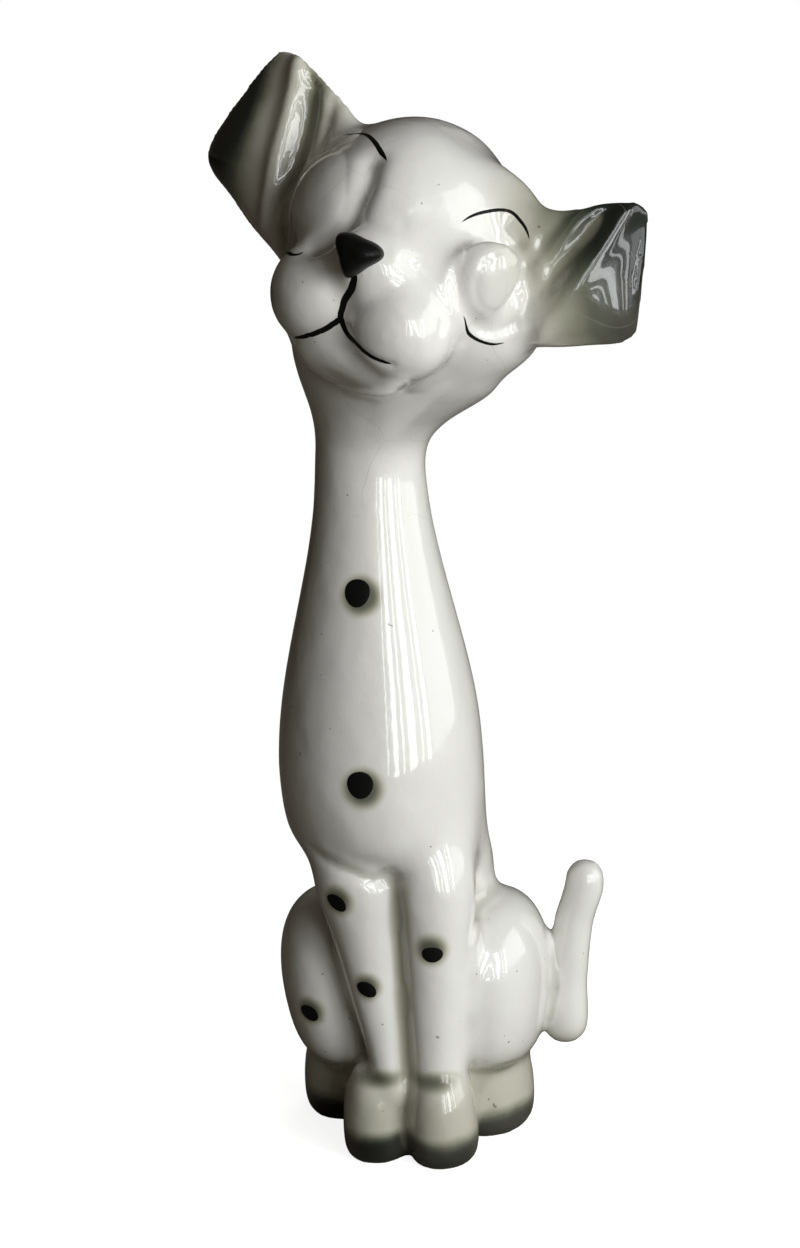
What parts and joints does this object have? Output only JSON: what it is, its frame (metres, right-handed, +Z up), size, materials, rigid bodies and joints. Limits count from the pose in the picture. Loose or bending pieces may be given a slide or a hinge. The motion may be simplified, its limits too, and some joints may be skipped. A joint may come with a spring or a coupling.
{
  "type": "sitting dog figure",
  "caption": "Tall long-necked sitting dog ornament in glazed hollow ceramic, head tilted, ears spread, standing on an open foot closed by a vented disc.",
  "frame": {"origin": "on the foot's unglazed ring, near the middle of the footprint, at floor level", "axes": "+Z up along the neck; the figure faces -Y, so +X is its own left side"},
  "size_m": [0.1278, 0.0986, 0.3183],
  "materials": {
    "white_glaze": "clear gloss glaze over warm white clay",
    "grey_glaze": "gloss glaze over airbrushed grey-green",
    "black_enamel": "gloss black brushed enamel",
    "bisque": "matte unglazed clay"
  },
  "bodies": {
    "root": {"body": "white_glaze", "base_disc": "bisque", "head": "white_glaze", "right_foreleg": "white_glaze", "left_foreleg": "white_glaze", "right_haunch": "white_glaze", "left_haunch": "white_glaze", "tail": "white_glaze", "nose": "black_enamel", "right_ear": "grey_glaze", "left_ear": "grey_glaze"}
  },
  "joints": []
}
